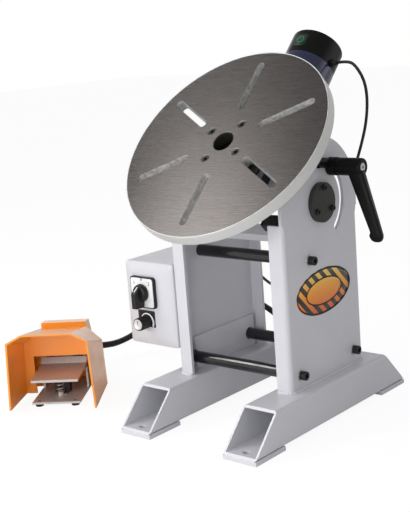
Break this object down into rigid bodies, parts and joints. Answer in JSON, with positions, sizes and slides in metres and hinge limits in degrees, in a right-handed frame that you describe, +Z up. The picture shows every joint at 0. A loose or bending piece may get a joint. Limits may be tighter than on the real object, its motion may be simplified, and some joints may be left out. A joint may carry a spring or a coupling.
{
  "type": "welding positioner",
  "caption": "Bench welding positioner: slotted turntable on a tilting worm-drive head between two side plates, with clamping lever, control box and foot pedal.",
  "frame": {"origin": "on the floor, midway between the four anchor holes", "axes": "X along the tilt axis towards the clamping lever, Y from front to rear, Z up"},
  "size_m": [0.7267, 0.6438, 0.6824],
  "materials": {
    "paint_grey": "satin light grey paint",
    "rod_black": "glossy black",
    "screw_steel": "zinc plated",
    "screw_black": "black oxide",
    "cap_black": "matt dark",
    "table_steel": "turned and ground",
    "machined_steel": "machined",
    "cast_aluminium": "as cast",
    "gear_bronze": "machined",
    "motor_blue": "gloss dark blue paint",
    "black_plastic": "moulded",
    "grey_plastic": "moulded",
    "rubber_black": "matt",
    "hood_orange": "gloss orange paint",
    "treadle_metal": "brushed",
    "board_green": "solder mask",
    "rotor_steel": "machined",
    "bearing_steel": "ground",
    "brass": "turned"
  },
  "bodies": {
    "base": {"left_foot": "paint_grey", "right_foot": "paint_grey", "foot_pads": "paint_grey", "left_side_plate": "paint_grey", "right_side_plate": "paint_grey", "base_stiffeners": "paint_grey", "tie_rods": "rod_black", "rod_screws": "screw_black", "rod_washers": "screw_steel", "pivot_bushes": "brass", "pivot_caps": "cap_black", "cap_screws": "screw_black", "control_box": "paint_grey", "box_rear_cover": "paint_grey", "box_screws": "screw_steel", "switch_body": "grey_plastic", "switch_plate": "black_plastic", "speed_pot": "grey_plastic", "speed_label": "black_plastic", "speed_board": "board_green", "cable_glands": "black_plastic", "pedal_base": "treadle_metal", "pedal_feet": "rubber_black", "pedal_hood": "hood_orange", "pedal_pin": "machined_steel", "pedal_spring": "machined_steel", "pedal_switch": "black_plastic", "pedal_conduit": "rubber_black", "motor_cable": "rubber_black", "mains_lead": "rubber_black", "mains_coil": "rubber_black", "mains_plug": "black_plastic"},
    "head": {"tilt_yoke": "paint_grey", "pivot_shafts": "machined_steel", "lock_stud": "machined_steel", "lock_collar": "machined_steel", "gearbox_housing": "cast_aluminium", "gearbox_cover": "cast_aluminium", "gearbox_screws": "screw_steel", "gear_bearings": "bearing_steel", "motor_bell": "cast_aluminium", "motor_body": "motor_blue", "motor_cap": "black_plastic", "motor_gland": "black_plastic", "earth_blocks": "black_plastic"},
    "turntable": {"table": "table_steel", "table_screws": "screw_black", "spindle": "machined_steel", "spindle_nut": "machined_steel", "worm_wheel": "gear_bronze"},
    "worm": {"worm_shaft": "machined_steel", "motor_rotor": "rotor_steel"},
    "lever_core": {"lever_insert": "machined_steel", "lever_screw": "screw_steel", "lever_spring": "machined_steel"},
    "lever_grip": {"lock_lever": "black_plastic"},
    "switch_handle": {"switch_knob": "black_plastic"},
    "speed_dial": {"speed_knob": "black_plastic"},
    "treadle": {"pedal_treadle": "treadle_metal"},
    "plunger": {"pedal_plunger": "black_plastic"}
  },
  "joints": [
    {"name": "tilt", "type": "hinge", "parent": "base", "child": "head", "pos_m": [0, 0.02, 0.39], "axis": [1, 0, 0], "range_deg": [-105, 45], "deforming": ["motor_cable"]},
    {"name": "table_spin", "type": "hinge", "parent": "head", "child": "turntable", "pos_m": [0, -0.0401, 0.47132], "axis": [0, -0.7071, 0.7071], "continuous": true},
    {"name": "worm_spin", "type": "hinge", "parent": "head", "child": "worm", "pos_m": [0.03, -0.01889, 0.4501], "axis": [0, 0.7071, 0.7071], "continuous": true},
    {"name": "lever_turn", "type": "hinge", "parent": "head", "child": "lever_core", "pos_m": [0.16, 0.05604, 0.44767], "axis": [1, 0, 0], "range_deg": [0, 90]},
    {"name": "lever_lift", "type": "slide", "parent": "lever_core", "child": "lever_grip", "axis": [1, 0, 0], "range_m": [0, 0.006], "stiffness_N_per_m": 900, "springref_m": -0.004, "deforming": ["lever_spring"]},
    {"name": "switch_turn", "type": "hinge", "parent": "base", "child": "switch_handle", "pos_m": [-0.203, -0.1, 0.223], "axis": [0, -1, 0], "range_deg": [-45, 45]},
    {"name": "speed_turn", "type": "hinge", "parent": "base", "child": "speed_dial", "pos_m": [-0.203, -0.1, 0.165], "axis": [0, -1, 0], "range_deg": [-150, 150]},
    {"name": "treadle_press", "type": "hinge", "parent": "base", "child": "treadle", "pos_m": [-0.421, -0.11851, 0.046], "axis": [0.8261, 0.5635, 0], "range_deg": [0, 8], "stiffness_Nm_per_rad": 4, "springref_deg": -6.88, "deforming": ["pedal_spring"]},
    {"name": "plunger_slide", "type": "slide", "parent": "base", "child": "plunger", "axis": [0, 0, -1], "range_m": [0, 0.005]}
  ],
  "couplings": [
    {"joint": "worm_spin", "follows": "table_spin", "ratio": -30},
    {"joint": "plunger_slide", "follows": "treadle_press", "m_per_rad": 0.0341}
  ]
}
